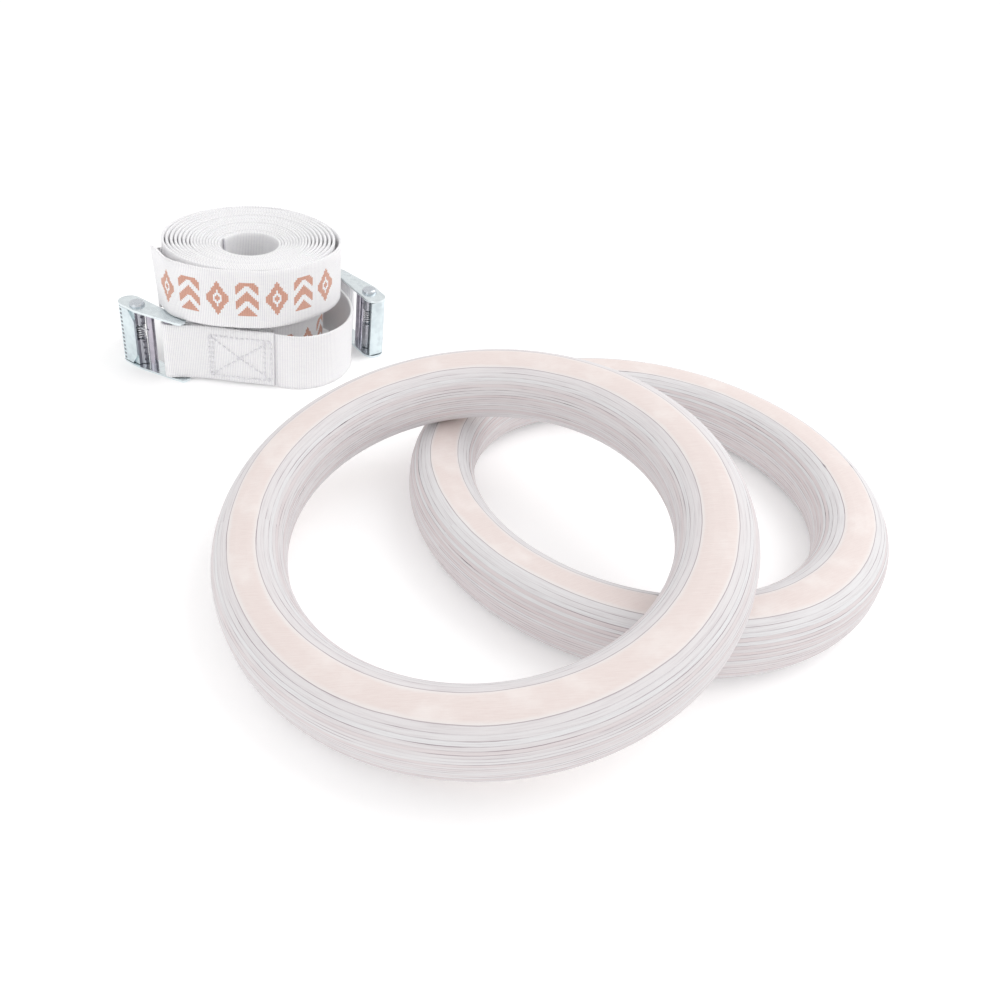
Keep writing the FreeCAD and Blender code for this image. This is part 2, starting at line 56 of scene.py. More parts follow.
WEB_WIDTH = 38 * MM
WEB_THICKNESS = 1.64 * MM         # a little more than packed flat
SEWN_END = 68 * MM                # length of the folded-back end
SEAM_FAR = SEWN_END - 2 * MM      # the sewn box, as distances from the strap bar
SEAM_NEAR = SEAM_FAR - 40 * MM
SEAM_LOW = 3.5 * MM               # above the webbing's lower edge
SEAM_HEIGHT = 28.5 * MM
SEAM_COLUMNS = (SEAM_NEAR, SEAM_NEAR + 2.4 * MM, SEAM_FAR - 4.4 * MM, SEAM_FAR)
LOOP_RADIUS = 3.48 * MM           # middle of the webbing round the buckle's strap bar
LOW_AT_BUCKLE = 1.8 * MM          # webbing's lower edge between the side plates
PICK = 1.1 * MM                   # one weft thread
WARP = 0.9 * MM                   # one warp rib
NOTCH = 0.32 * MM                 # how far every second weft thread pulls the edge in
LIFT_OFF_FLOOR = 0.2 * MM         # so that the notched edge stays above the floor

BODY_FROM = 32 * MM               # from the bar, where a strap's line leaves its folded end
LOWER_FIRST_MOTIF = 0.47          # start of the woven band, from the cut end
UPPER_FIRST_MOTIF = 0.281

LEFT_BAR = (-0.18474, 0.10193)    # middles of the two strap bars, in plan
RIGHT_BAR = (-0.07631, 0.18057)
GRIP_ROW = 9.2 * MM               # row of grooves on the thumb plate, from the cam pin
GRIP_PITCH = 2.9 * MM
UNDER_HOOD = 4.9 * MM             # just under the thumb plate's inner face, from the cam pin
TOP_OF_BARS = 42.4 * MM           # just under the upper side plate's top face
WORN_EDGE = 0.25 * MM
# Each buckle's cam pin in millimetres, and the way its thumb end points in degrees.
PINS = {"left": (-207.5, 117.4, 143.5), "right": (-61.0, 157.7, 301.5)}
SPRING_RADIUS = 3.1               # the spring's sizes in millimetres, from its pin
SPRING_LOW = 20.7
SPRING_PITCH = 1.6
SPRING_TURNS = 5
SPRING_WIRE = 0.5                 # radius
BAR_LEG_END = (-11.2, 2.1)
HOOD_LEG_END = (7.5, 4.3)

# Plan of each strap's loose turn after the bar, in millimetres, as in the CAD model.
LOWER_ROUTE = [
    (-172.6, 102.2), (-156.6, 101.7), (-136.6, 99.5), (-118.6, 98.4),
    (-103.3, 96.7), (-85.1, 104.3), (-72.6, 124.7), (-71.8, 142.3), (-80.8, 166.7),
    (-100.6, 187.6), (-127.6, 197.8), (-138.6, 199.0), (-150.6, 197.6),
]
UPPER_ROUTE = [
    (-84.6, 186.9), (-96.6, 194.4), (-112.6, 200.9), (-130.6, 204.2),
    (-148.6, 203.2), (-166.6, 197.4), (-182.6, 184.4), (-192.6, 167.4), (-196.9, 148.4),
    (-196.2, 131.4), (-190.7, 116.4), (-185.1, 108.4), (-172.6, 100.3), (-155.6, 95.4),
    (-138.6, 94.8), (-123.1, 96.3), (-96.8, 112.4), (-82.5, 133.6), (-81.2, 152.9),
    (-90.6, 172.9), (-111.6, 191.4), (-125.6, 197.6), (-138.6, 199.0),
]
SLOPE_ENDS_AT = 9                 # index in UPPER_ROUTE
SLOPE_HEAD = 34.5 * MM            # height of the webbing's lower edge there
CLIMB_FROM = 45.0                 # where the slope leaves the buckle's height, in millimetres

LOWER_COIL = {
    "middle": (-0.1386, 0.1494),
    "start_radius": 47.4 * MM,
    "end_radius": 14.3 * MM,
    "pitch": 1.68 * MM,
    "start_angle": math.radians(140),
    "low": 0.5 * MM,              # lower edge of the inmost turn
    "dish": 0.0,                  # how much higher the outer turns lie
    "seed": 3,
}
UPPER_COIL = {
    "middle": (-0.1386, 0.1469),
    "start_radius": 50.1 * MM,
    "end_radius": 18.2 * MM,
    "pitch": 1.86 * MM,
    "start_angle": math.radians(135),
    "low": 38.3 * MM,
    "dish": 4.7 * MM,
    "seed": 5,
    "slack": (5.2, 4.8, 4.4, 3.9, 3.4, 3.0, 2.6, 2.2, 1.9, 1.5, 1.2, 0.9, 0.6, 0.3),
}

STITCH = 3.3 * MM                 # from one stitch to the next
STITCH_HALF = 1.25 * MM           # half of a stitch's visible length
THREAD_RADIUS = 0.58 * MM
STITCH_STEPS = (-1.0, -0.75, -0.4, 0.0, 0.4, 0.75, 1.0)    # along a stitch, from its middle
SEAM_STEP = MM / 4                # spacing of the line that stitches are placed on
SEAM_SEED = 5


# ---------------------------------------------------------------- shader helper

class Shader:
    """A material with short ways to add nodes to it."""

    def __init__(self, name, **surface):
        self.material = bpy.data.materials.new(name)
        self.material.use_nodes = True
        self.tree = self.material.node_tree
        self.surface = self.tree.nodes["Principled BSDF"]
        for label, value in surface.items():
            self.surface.inputs[label.replace("_", " ")].default_value = value

    def node(self, kind, values=(), **settings):
        made = self.tree.nodes.new(kind)
        for label, value in settings.items():
            setattr(made, label, value)
        for key, value in dict(values).items():
            self.feed(made.inputs[key], value)
        return made

    def feed(self, socket, value):
        if isinstance(value, bpy.types.NodeSocket):
            self.tree.links.new(value, socket)
        else:
            socket.default_value = value

    def set(self, label, value):
        self.feed(self.surface.inputs[label], value)

    def math(self, operation, first, second=0.0, third=0.0, clamp=False):
        values = {0: first, 1: second, 2: third}
        return self.node("ShaderNodeMath", values, operation=operation, use_clamp=clamp).outputs[0]

    def mix(self, factor, first, second, blend="MIX"):
        made = self.node("ShaderNodeMix", {0: factor, 6: first, 7: second},
                         data_type="RGBA", blend_type=blend)
        return made.outputs[2]

    def between(self, value, low, high, start=0.0, end=1.0):
        """Smoothly from start to end as value goes from low to high."""
        values = {0: value, 1: low, 2: high, 3: start, 4: end}
        return self.node("ShaderNodeMapRange", values, interpolation_type="SMOOTHSTEP").outputs[0]

    def noise(self, vector, scale, detail=3.0, rough=0.55):
        values = {"Vector": vector, "Scale": scale, "Detail": detail, "Roughness": rough}
        return self.node("ShaderNodeTexNoise", values).outputs["Fac"]

    def random(self, value):
        return self.node("ShaderNodeTexWhiteNoise", {"W": value}, noise_dimensions="1D").outputs[0]

    def join(self, x, y, z=0.0):
        return self.node("ShaderNodeCombineXYZ", {0: x, 1: y, 2: z}).outputs[0]

    def split(self, vector):
        return self.node("ShaderNodeSeparateXYZ", {0: vector}).outputs

    def place(self):
        return self.node("ShaderNodeTexCoord").outputs["Object"]

    def attribute(self, name):
        return self.node("ShaderNodeAttribute", attribute_name=name).outputs["Fac"]

    def bump(self, height, distance, strength=1.0):
        values = {"Height": height, "Distance": distance, "Strength": strength}
        self.set("Normal", self.node("ShaderNodeBump", values).outputs[0])


def rgb(red, green, blue):
    """A colour given on the usual 0 to 255 display scale."""
    linear = [((c / 255 + 0.055) / 1.055) ** 2.4 for c in (red, green, blue)]
    return (*linear, 1.0)


# ---------------------------------------------------------------- materials

def birch(name, centre, turn, seed):
    """Lime-washed plywood ring: plies across its axis, face veneer above and below.

    level counts plies from the middle one and height is its size, whichever face is nearer.
    """
    s = Shader(name, Roughness=0.55, Specular_IOR_Level=0.35)
    local = s.node("ShaderNodeMapping", {"Vector": s.place(), "Location": centre, "Rotation": turn},
                   vector_type="TEXTURE").outputs[0]
    x, y, z = s.split(local)
    angle = s.math("ARCTAN2", y, x)
    wobble = s.math("SUBTRACT", s.noise(local, 14.0, 3.0), 0.5)
    level = s.math("DIVIDE", s.math("MULTIPLY_ADD", wobble, 0.9 * MM, z), PLY)
    height = s.math("ABSOLUTE", level)
    ply = s.math("FLOOR", level)
    off_line = s.math("ABSOLUTE", s.math("SUBTRACT", s.math("FRACT", s.math("ADD", level, 0.5)), 0.5))
    around = s.math("MULTIPLY", angle, RING_OUTER)

    # How each ply takes the wash: by chance, by whether its grain is cut along or across, and
    # more fully near the faces.
    chance = s.random(s.math("ADD", ply, seed))
    parity = s.math("SIGN", s.math("SUBTRACT", s.math("PINGPONG", s.math("ADD", ply, 0.5), 1.0), 0.5))
    cut = s.math("MULTIPLY", s.math("COSINE", s.math("MULTIPLY", angle, 2.0)), parity)
    pinkness = s.math("ADD", s.math("MULTIPLY", chance, 0.8), s.math("MULTIPLY", cut, 0.25), clamp=True)
    unwashed = s.between(height, WASHED_FROM, WASHED_TO, 1.0, 0.4)
    pinkness = s.math("MULTIPLY", pinkness, unwashed)
    ply_colour = s.mix(pinkness, rgb(225, 225, 226), rgb(216, 203, 203))
    fibres = s.join(s.math("MULTIPLY", around, 40.0), s.math("MULTIPLY", z, 2600.0),
                    s.math("MULTIPLY", ply, 3.1))
    streaks = s.noise(fibres, 1.0, 4.0, 0.65)
    ply_colour = s.mix(s.between(streaks, 0.42, 0.75, 0.0, 0.5), ply_colour, rgb(194, 185, 188))

    # Face veneers: pink beige, with a fine straight grain and soft clouds of wash.
    straight = s.join(s.math("MULTIPLY", x, 130.0), s.math("MULTIPLY", y, 1700.0), seed)
    grain = s.noise(straight, 1.0, 5.0, 0.7)
    clouds = s.noise(local, 38.0, 4.0, 0.6)
    face = s.mix(s.between(grain, 0.2, 0.85), rgb(231, 220, 216), rgb(223, 209, 205))
    face = s.mix(s.between(clouds, 0.45, 0.75, 0.0, 0.6), face, rgb(239, 233, 230))
    ragged = s.math("MULTIPLY_ADD", s.math("SUBTRACT", clouds, 0.5), 0.5, height)
    rim = s.between(ragged, GLUE_LINES, GLUE_LINES + 0.42, 0.75, 0.0)
    face = s.mix(rim, face, rgb(233, 231, 230))
    on_face = s.between(height, GLUE_LINES - 0.05, GLUE_LINES + 0.05)
    wood = s.mix(on_face, ply_colour, face)

    # Glue lines, fainter and darker by turns, with a few torn or unfilled places.
    which_line = s.math("MULTIPLY", s.math("ROUND", level), 7.7)
    strength = s.noise(s.join(s.math("MULTIPLY", around, 22.0), which_line, seed), 1.0, 3.0, 0.6)
    thin = s.between(height, GLUE_LINES - 3.5, GLUE_LINES, 1.0, 0.5)
    line = s.between(s.math("DIVIDE", off_line, thin), 0.035, 0.13, 1.0, 0.0)
    edge = s.between(height, GLUE_LINES - 0.4, GLUE_LINES - 0.2, 0.0, 0.7)
    tone = s.math("MAXIMUM", s.between(strength, 0.42, 0.66, 0.1, 1.0), edge)
    wood = s.mix(s.math("MULTIPLY", line, tone), wood, rgb(156, 141, 148))
    gap = s.math("MULTIPLY", s.between(off_line, 0.03, 0.15, 1.0, 0.0), s.between(strength, 0.66, 0.72))
    wood = s.mix(gap, wood, rgb(104, 95, 103))
    s.set("Base Color", wood)

    relief = s.math("MULTIPLY_ADD", line, -0.7, s.math("MULTIPLY", streaks, 0.55))
    relief = s.math("MULTIPLY_ADD", gap, -1.5, relief)
    s.bump(s.math("MULTIPLY_ADD", grain, 0.15, relief), 0.12 * MM, 0.8)
    return s.material


MOTIF = 17                        # woven dots from one motif to the next
MOTIF_MIDDLE = 7.0                # its middle column
MOTIFS = 7                        # in a group
GROUP = 9                         # motifs' lengths in a group and the plain webbing after it
DOT = 1.06 * MM                   # a woven dot, along the webbing
DOT_HEIGHT = 1.1 * MM
BAND_LOW = 8.5 * MM
BAND_ROWS = 20


def seam_channel_and_painted_shade(s, along, across, side):
    """1 where the seam's thread pulls the folded end down, 0 away from it; used for the channel's bump
    and for painted shade in the channel.
    """
    long = SEAM_FAR - SEAM_NEAR
    u = s.math("DIVIDE", s.math("SUBTRACT", SEWN_END - SEAM_NEAR, along), long)
    v = s.math("DIVIDE", s.math("SUBTRACT", across, SEAM_LOW), SEAM_HEIGHT)
    slant = long * SEAM_HEIGHT / math.hypot(long, SEAM_HEIGHT)
    gaps = [(s.math("SUBTRACT", u, v), slant), (s.math("SUBTRACT", s.math("ADD", u, v), 1.0), slant),
            (v, SEAM_HEIGHT), (s.math("SUBTRACT", v, 1.0), SEAM_HEIGHT)]
    gaps += [(s.math("SUBTRACT", u, (place - SEAM_NEAR) / long), long) for place in SEAM_COLUMNS]
    nearest = 1.0
    for gap, scale in gaps:
        nearest = s.math("MINIMUM", nearest, s.math("MULTIPLY", s.math("ABSOLUTE", gap), scale))
    pulled_and_painted_shade = s.between(nearest, 0.35 * MM, 1.3 * MM, 1.0, 0.0)
    for value, margin in ((u, 0.02), (v, 0.03)):
        centred = s.math("ABSOLUTE", s.math("SUBTRACT", value, 0.5))
        pulled_and_painted_shade = s.math("MULTIPLY", pulled_and_painted_shade, s.math("LESS_THAN", centred, 0.5 + margin))
    return s.math("MULTIPLY", pulled_and_painted_shade, s.math("GREATER_THAN", side, 0.5))


def webbing(name, first_motif):
    """Plain-woven white webbing, with groups of terracotta diamonds and chevrons on one face."""
    s = Shader(name, Roughness=0.8, Specular_IOR_Level=0.25, Sheen_Weight=0.25, Sheen_Roughness=0.5,
               Subsurface_Weight=0.4, Subsurface_Radius=(1.0, 0.97, 0.97), Subsurface_Scale=3 * MM)
    along = s.attribute("along")
    across = s.attribute("across")
    side = s.attribute("side")
    pick = s.math("ABSOLUTE", s.math("SINE", s.math("MULTIPLY", along, math.pi / PICK)))
    end = s.math("ABSOLUTE", s.math("SINE", s.math("MULTIPLY", across, math.pi / WARP)))
    ribs = s.math("MULTIPLY_ADD", s.between(end, 0.0, 0.7), 0.45, s.between(pick, 0.0, 0.75))
    yarns = s.join(s.math("MULTIPLY", along, 160.0), s.math("MULTIPLY", across, 900.0))
    slub = s.noise(yarns, 1.0, 3.0)
    plain = s.mix(s.between(ribs, 0.1, 1.2), rgb(211, 209, 217), rgb(255, 255, 255))
    plain = s.mix(s.between(slub, 0.35, 0.75, 0.0, 0.3), plain, rgb(238, 236, 243))
    channel_and_painted_shade = seam_channel_and_painted_shade(s, along, across, side)
    # Painted shade: the webbing is darkened along the stitched lines, in the channel the thread pulls
    # down.
    plain = s.mix(s.math("MULTIPLY", channel_and_painted_shade, 0.85), plain, rgb(174, 172, 182))

    # The woven band, worked out in whole dots of yarn.
    column = s.math("FLOOR", s.math("DIVIDE", s.math("SUBTRACT", along, first_motif), DOT))
    row = s.math("FLOOR", s.math("DIVIDE", s.math("SUBTRACT", across, BAND_LOW), DOT_HEIGHT))
    cell = s.math("FLOOR", s.math("DIVIDE", column, MOTIF))
    from_left = s.math("SUBTRACT", column, s.math("MULTIPLY", cell, MOTIF))
    dx = s.math("ABSOLUTE", s.math("SUBTRACT", from_left, MOTIF_MIDDLE))
    dy = s.math("ABSOLUTE", s.math("SUBTRACT", row, (BAND_ROWS - 1) / 2))
    reach = s.math("ADD", s.math("DIVIDE", dx, MOTIF_MIDDLE), s.math("DIVIDE", dy, BAND_ROWS / 2))
    ring = s.math("MULTIPLY", s.math("LESS_THAN", reach, 1.02), s.math("GREATER_THAN", reach, 0.46))
    diamond = s.math("MAXIMUM", ring, s.math("LESS_THAN", reach, 0.2))
    wave = s.math("FRACT", s.math("DIVIDE", s.math("ADD", row, s.math("MULTIPLY", dx, 0.9)), 9.0))
    chevron = s.math("MULTIPLY", s.math("LESS_THAN", wave, 0.56), s.math("LESS_THAN", dx, 6.5))
    even = s.math("LESS_THAN", s.math("FRACT", s.math("MULTIPLY", cell, 0.5)), 0.25)
    motif = s.math("ADD", s.math("MULTIPLY", even, diamond),
                   s.math("MULTIPLY", s.math("SUBTRACT", 1.0, even), chevron))
    group_share = s.math("FRACT", s.math("DIVIDE", cell, GROUP))
    in_group = s.math("LESS_THAN", group_share, (MOTIFS - 0.5) / GROUP)
    in_band = s.math("LESS_THAN", dy, BAND_ROWS / 2)
    outside = s.math("GREATER_THAN", side, 0.5)
    started = s.math("GREATER_THAN", along, first_motif)
    for limit in (in_group, in_band, outside, started):
        motif = s.math("MULTIPLY", motif, limit)
    yarn = s.mix(s.between(ribs, 0.1, 1.2), rgb(188, 136, 119), rgb(217, 167, 148))
    s.set("Base Color", s.mix(motif, plain, yarn))
    relief = s.math("MULTIPLY_ADD", channel_and_painted_shade, -2.0, s.math("MULTIPLY_ADD", slub, 0.4, ribs))
    s.bump(relief, 0.2 * MM, 0.8)
    return s.material


def thread():
    """White sewing thread with a fine twist."""
    s = Shader("thread", Roughness=0.6, Sheen_Weight=0.2)
    twist = s.node("ShaderNodeTexWave", {"Vector": s.place(), "Scale": 900.0, "Distortion": 1.0},
                   bands_direction="DIAGONAL").outputs["Fac"]
    s.set("Base Color", s.mix(twist, rgb(225, 224, 230), rgb(250, 250, 252)))
    s.bump(twist, 0.1 * MM)
    return s.material


def lever_zones(s, x, y, turned):
    """Masks for the grooved grip row on the thumb plate's bend, for its bump and painted shade, and for
    the cam under it, for painted shade only.

    x and y are the cam pin's place in millimetres, turned the way the thumb end points in degrees.
    """
    centre = (x * MM, y * MM, 0.0)
    local = s.node("ShaderNodeMapping", {"Vector": s.place(), "Location": centre,
                                         "Rotation": (0.0, 0.0, math.radians(turned))},
                   vector_type="TEXTURE").outputs[0]
    reach, out, height = s.split(local)
    off_row = s.math("ABSOLUTE", s.math("SUBTRACT", reach, GRIP_ROW))
    row = s.between(off_row, 0.9 * MM, 1.2 * MM, 1.0, 0.0)
    step = s.math("SINE", s.math("MULTIPLY", height, 2 * math.pi / GRIP_PITCH))
    grooves_and_painted_shade = s.math("MULTIPLY", row, s.between(step, -0.35, 0.15))
    grooves_and_painted_shade = s.math("MULTIPLY", grooves_and_painted_shade, s.math("GREATER_THAN", out, UNDER_HOOD))
    furthest = s.math("MAXIMUM", out, s.math("MULTIPLY", reach, 0.9))
    return grooves_and_painted_shade, s.math("LESS_THAN", furthest, UNDER_HOOD)


def plated_steel(name, light, dark, mottle, roughness, riveted=None, grip=None):
    """Bright zinc on steel: soft crystal mottling, faint rubbing, fine scratches.

    riveted is the colour of a bar's ends, which are ground off with the side plate. grip is the
    pin and direction of a lever, for its grooved grip row and its toothed cam, both darkened with
    painted shade.
    """
    s = Shader(name, Metallic=1.0)
    place = s.place()
    crystals = s.node("ShaderNodeTexVoronoi", {"Vector": place, "Scale": 420.0},
                      feature="SMOOTH_F1").outputs["Color"]
    patches = s.split(crystals)[0]
    clouds = s.noise(place, 120.0, 4.0, 0.6)
    shade = s.math("ADD", s.math("MULTIPLY", patches, 0.35), s.math("MULTIPLY", clouds, 0.8))
    zinc = s.mix(s.between(shade, 0.35, 0.85, 0.0, mottle), light, dark)
    if riveted:
        zinc = s.mix(s.math("GREATER_THAN", s.split(place)[2], TOP_OF_BARS), zinc, riveted)
    grooves_and_painted_shade = 0.0
    if grip:
        grooves_and_painted_shade, cam = lever_zones(s, *grip)
        # Painted shade: the cam under the thumb plate is darkened, and each grip groove is darkened as
        # a shaded recess.
        zinc = s.mix(s.math("MULTIPLY", cam, 0.75), zinc, rgb(168, 164, 172))
        zinc = s.mix(s.math("MULTIPLY", grooves_and_painted_shade, 0.8), zinc, rgb(84, 86, 94))
    s.set("Base Color", zinc)
    drawn_out = s.node("ShaderNodeMapping", {"Vector": place, "Scale": (900.0, 900.0, 60.0)}).outputs[0]
    scratches = s.noise(drawn_out, 1.0, 3.0, 0.7)
    s.set("Roughness", s.between(scratches, 0.3, 0.75, roughness, roughness + 0.14))
    relief = s.math("MULTIPLY_ADD", grooves_and_painted_shade, -8.0, s.math("MULTIPLY_ADD", scratches, 0.3, clouds))
    s.bump(relief, 0.03 * MM, 0.35)
    return s.material


def spring_wire():
    """Bare spring steel, a little dull where it is handled."""
    s = Shader("spring_wire", Metallic=1.0)
    worn = s.noise(s.place(), 700.0, 3.0)
    s.set("Base Color", s.mix(s.between(worn, 0.4, 0.8), rgb(226, 226, 229), rgb(196, 196, 201)))
    s.set("Roughness", s.between(worn, 0.3, 0.8, 0.25, 0.42))
    return s.material


def floor_paint():
    """Plain pale floor; its small glow keeps it near white under the studio light."""
    s = Shader("floor", Roughness=0.7, Specular_IOR_Level=0.1)
    s.set("Base Color", s.mix(s.noise(s.place(), 4.0, 2.0), rgb(246, 246, 246), rgb(250, 250, 250)))
    s.surface.inputs["Emission Color"].default_value = (1.0, 1.0, 1.0, 1.0)
    s.surface.inputs["Emission Strength"].default_value = 0.16
    return s.material


# ---------------------------------------------------------------- straps

def smooth_line(points, spacing):
    """Evenly spaced points on the natural cubic spline through the given ones."""
    knots = np.array(points, dtype=float)
    gaps = np.linalg.norm(np.diff(knots, axis=0), axis=1)
    place = np.concatenate([[0.0], np.cumsum(gaps)])
    count = len(knots)
    system = np.eye(count)
    bends = np.zeros_like(knots)
    for i in range(1, count - 1):
        before, after = gaps[i - 1], gaps[i]
        system[i, i - 1:i + 2] = before, 2 * (before + after), after
        bends[i] = 6 * ((knots[i + 1] - knots[i]) / after - (knots[i] - knots[i - 1]) / before)
    bends = np.linalg.solve(system, bends)
    fine = np.arange(0.0, place[-1], spacing / 4)
    at = np.clip(np.searchsorted(place, fine, side="right") - 1, 0, count - 2)
    gap = gaps[at][:, None]
    b = (fine - place[at])[:, None] / gap
    a = 1 - b
    line = (a * knots[at] + b * knots[at + 1]
            + ((a ** 3 - a) * bends[at] + (b ** 3 - b) * bends[at + 1]) * gap ** 2 / 6)
    run = np.concatenate([[0.0], np.cumsum(np.linalg.norm(np.diff(line, axis=0), axis=1))])
    even = np.arange(0.0, run[-1], spacing)
    return np.stack([np.interp(even, run, line[:, k]) for k in range(3)], axis=1)


def outward(line):
    """Unit normals in plan, to the right of the way the line runs."""
    run = np.gradient(line, axis=0)
    normal = np.stack([run[:, 1], -run[:, 0], np.zeros(len(line))], axis=1)
    return normal / np.linalg.norm(normal, axis=1)[:, None]


def folded_end(bar, route):
    """Points from the cut end along the outer layer, round the bar and back to the route."""
    line = smooth_line([(*bar, 0.0)] + route, MM)
    normal = outward(line)
    step = 8
    parting = 12
    outer = [line[i] + normal[i] * WEB_THICKNESS for i in range(int(SEWN_END / MM), parting, -step)]
    first = line[3] - line[0]
    e1 = first / np.linalg.norm(first)
    e2 = np.array([e1[1], -e1[0], 0.0])
    centre = np.array([*bar, 0.0])
    around = []
    for degrees in range(80, 285, 20):
        turn = math.radians(degrees)
        around.append(centre + LOOP_RADIUS * (math.cos(turn) * e1 + math.sin(turn) * e2))
    inner = [line[i] for i in (2 * step, 3 * step)]
    return outer, around, inner


def spiral(middle, start_radius, end_radius, pitch, start_angle, low, dish, seed, slack=()):
    """Points every 15 degrees, anticlockwise and inwards; each turn a little uneven.

    slack gives, for each half turn from the left side on, how many millimetres the webbing stands
    off there.
    """
    chance = random.Random(seed)
    per_turn = 24
    turns = (start_radius - end_radius) / pitch
    lifts = [chance.uniform(-0.3, 0.3) * MM for _ in range(int(turns) + 3)]
    points = []
    for i in range(int(turns * per_turn)):
        turn = i / per_turn
        angle = start_angle + 2 * math.pi * turn
        radius = start_radius - pitch * turn
        share = (radius - end_radius) / (start_radius - end_radius)
        half_turns = angle / math.pi - 1
        for k, stand_off in enumerate(slack):
            radius += stand_off * MM * math.cos(math.pi * min(0.5, abs(half_turns - k))) ** 2
        which = int(turn)
        lift = lifts[which] + (lifts[which + 1] - lifts[which]) * (turn - which)
        points.append((middle[0] + radius * math.cos(angle), middle[1] + radius * math.sin(angle),
                       low + dish * share + lift))
    return points


def strap_line(bar, route, heights, coil):
    """The whole webbing's middle line at its lower edge, from the cut end to inside the coil."""
    plan = [(x * MM, y * MM, 0.0) for x, y in route]
    outer, around, inner = folded_end(bar, plan)
    ends = [(p[0], p[1], LOW_AT_BUCKLE) for p in outer + around + inner]
    body = [(p[0], p[1], h) for p, h in zip(plan, heights)]
    first = next(i for i, p in enumerate(body) if math.dist(p[:2], bar) > BODY_FROM)
    return smooth_line(ends + body[first:] + coil, PICK)


FACE_ROWS = (0.4 * MM, 3 * MM, 10 * MM, 19 * MM, 28 * MM, 35 * MM, WEB_WIDTH - 0.4 * MM)


def webbing_section():
    """Thickness offset, height and edge sign of the points round one cross-section."""
    half = WEB_THICKNESS / 2
    edge = 0.4 * MM
    section = [(half, v, 0) for v in FACE_ROWS]
    section += [(edge, WEB_WIDTH, 1), (-edge, WEB_WIDTH, 1)]
    section += [(-half, v, 0) for v in reversed(FACE_ROWS)]
    section += [(-edge, 0.0, -1), (edge, 0.0, -1)]
    return section


def mesh_object(name, vertices, faces, material):
    mesh = bpy.data.meshes.new(name)
    mesh.from_pydata([tuple(v) for v in vertices], [], faces)
    mesh.polygons.foreach_set("use_smooth", [True] * len(mesh.polygons))
    mesh.materials.append(material)
    mesh.update()
    piece = bpy.data.objects.new(name, mesh)
    bpy.context.scene.collection.objects.link(piece)
    return piece


def tube_faces(start, rings, around):
    """Faces of a closed tube whose rings of points follow each other from index start."""
    faces = []
    for ring in range(rings - 1):
        for k in range(around):
            a = start + ring * around + k
            b = start + ring * around + (k + 1) % around
            faces.append((a, b, b + around, a + around))
    last = start + (rings - 1) * around
    faces.append(tuple(start + k for k in reversed(range(around))))
    faces.append(tuple(last + k for k in range(around)))
    return faces


def weave_strap(name, line, material):
    """The webbing as one ribbon, its edges notched by every second weft thread."""
    run = np.gradient(line, axis=0)
    run /= np.linalg.norm(run, axis=1)[:, None]
    normal = outward(line)
    up = np.cross(normal, run)
    section = webbing_section()
    count = len(section)
    vertices, along, across, side = [], [], [], []
    for i in range(len(line)):
        notch = NOTCH if i % 2 else -0.02 * MM
        for thickness, height, edge in section:
            rise = height - edge * notch
            vertices.append(line[i] + normal[i] * thickness + up[i] * rise)
            along.append(i * PICK)
            across.append(height)
            side.append(thickness / WEB_THICKNESS * 2)
    faces = []
    for i in range(len(line) - 1):
        for k in range(count):
            a = i * count + k
            b = i * count + (k + 1) % count
            faces.append((a, a + count, b + count, b))
    faces.append(tuple(range(count)))
    faces.append(tuple(reversed(range((len(line) - 1) * count, len(line) * count))))
    strap = mesh_object(name, vertices, faces, material)
    for label, values in (("along", along), ("across", across), ("side", side)):
        strap.data.attributes.new(label, "FLOAT", "POINT").data.foreach_set("value", values)
    return strap


def stitch_lines(low):
    """Ends of each stitched line, as distance along the strap and height."""
    bottom = low + SEAM_LOW
    top = bottom + SEAM_HEIGHT
    lines = [((SEAM_NEAR, bottom), (SEAM_FAR, bottom)), ((SEAM_NEAR, top), (SEAM_FAR, top)),
             ((SEAM_NEAR, bottom), (SEAM_FAR, top)), ((SEAM_NEAR, top), (SEAM_FAR, bottom))]
    for place in SEAM_COLUMNS:
        lines.append(((place, bottom), (place, top)))
    return lines


def stitch(line, normal, start, end, share, drift, first):
    """Points and faces of one lockstitch: a short thread that dips into the webbing at both ends."""
    (s0, z0), (s1, z1) = start, end
    around = 8
    half = STITCH_HALF / math.hypot(s1 - s0, z1 - z0)
    centres = []
    for t in STITCH_STEPS:
        s = s0 + (s1 - s0) * (share + t * half)
        z = z0 + (z1 - z0) * (share + t * half) + drift
        i = int(np.clip(s / SEAM_STEP, 0, len(line) - 1))
        lift = 1.5 * WEB_THICKNESS + (0.5 - 1.0 * abs(t) ** 3) * MM
        centres.append(line[i] + normal[i] * lift + np.array([0, 0, z]))
    ahead = centres[-1] - centres[0]
    ahead /= np.linalg.norm(ahead)
    out = normal[i]
    aside = np.cross(ahead, out)
    vertices = []
    for t, centre in zip(STITCH_STEPS, centres):
        swell = THREAD_RADIUS * (1 - 0.35 * t * t)
        for k in range(around):
            turn = 2 * math.pi * k / around
            vertices.append(centre + swell * (math.cos(turn) * out + math.sin(turn) * aside))
    return vertices, tube_faces(first, len(STITCH_STEPS), around)


def sew(name, bar, route, material):
    """The seam's separate stitches on the folded end, each a little out of line."""
    chance = random.Random(SEAM_SEED)
    line = smooth_line([(*bar, 0.0)] + [(x * MM, y * MM, 0.0) for x, y in route], SEAM_STEP)
    normal = outward(line)
    vertices, faces = [], []
    for start, end in stitch_lines(LOW_AT_BUCKLE):
        count = int(math.dist(start, end) / STITCH)
        for n in range(count):
            drift = chance.uniform(-0.12, 0.12) * MM
            points, sides = stitch(line, normal, start, end, (n + 0.5) / count, drift, len(vertices))
            vertices += points
            faces += sides
    return mesh_object(name, vertices, faces, material)


def lower_strap_heights():
    """Height of the lower edge at each point of LOWER_ROUTE: down from the buckle to the floor."""
    return [max(LIFT_OFF_FLOOR, LOW_AT_BUCKLE * (1 - i / 4)) for i in range(len(LOWER_ROUTE))]


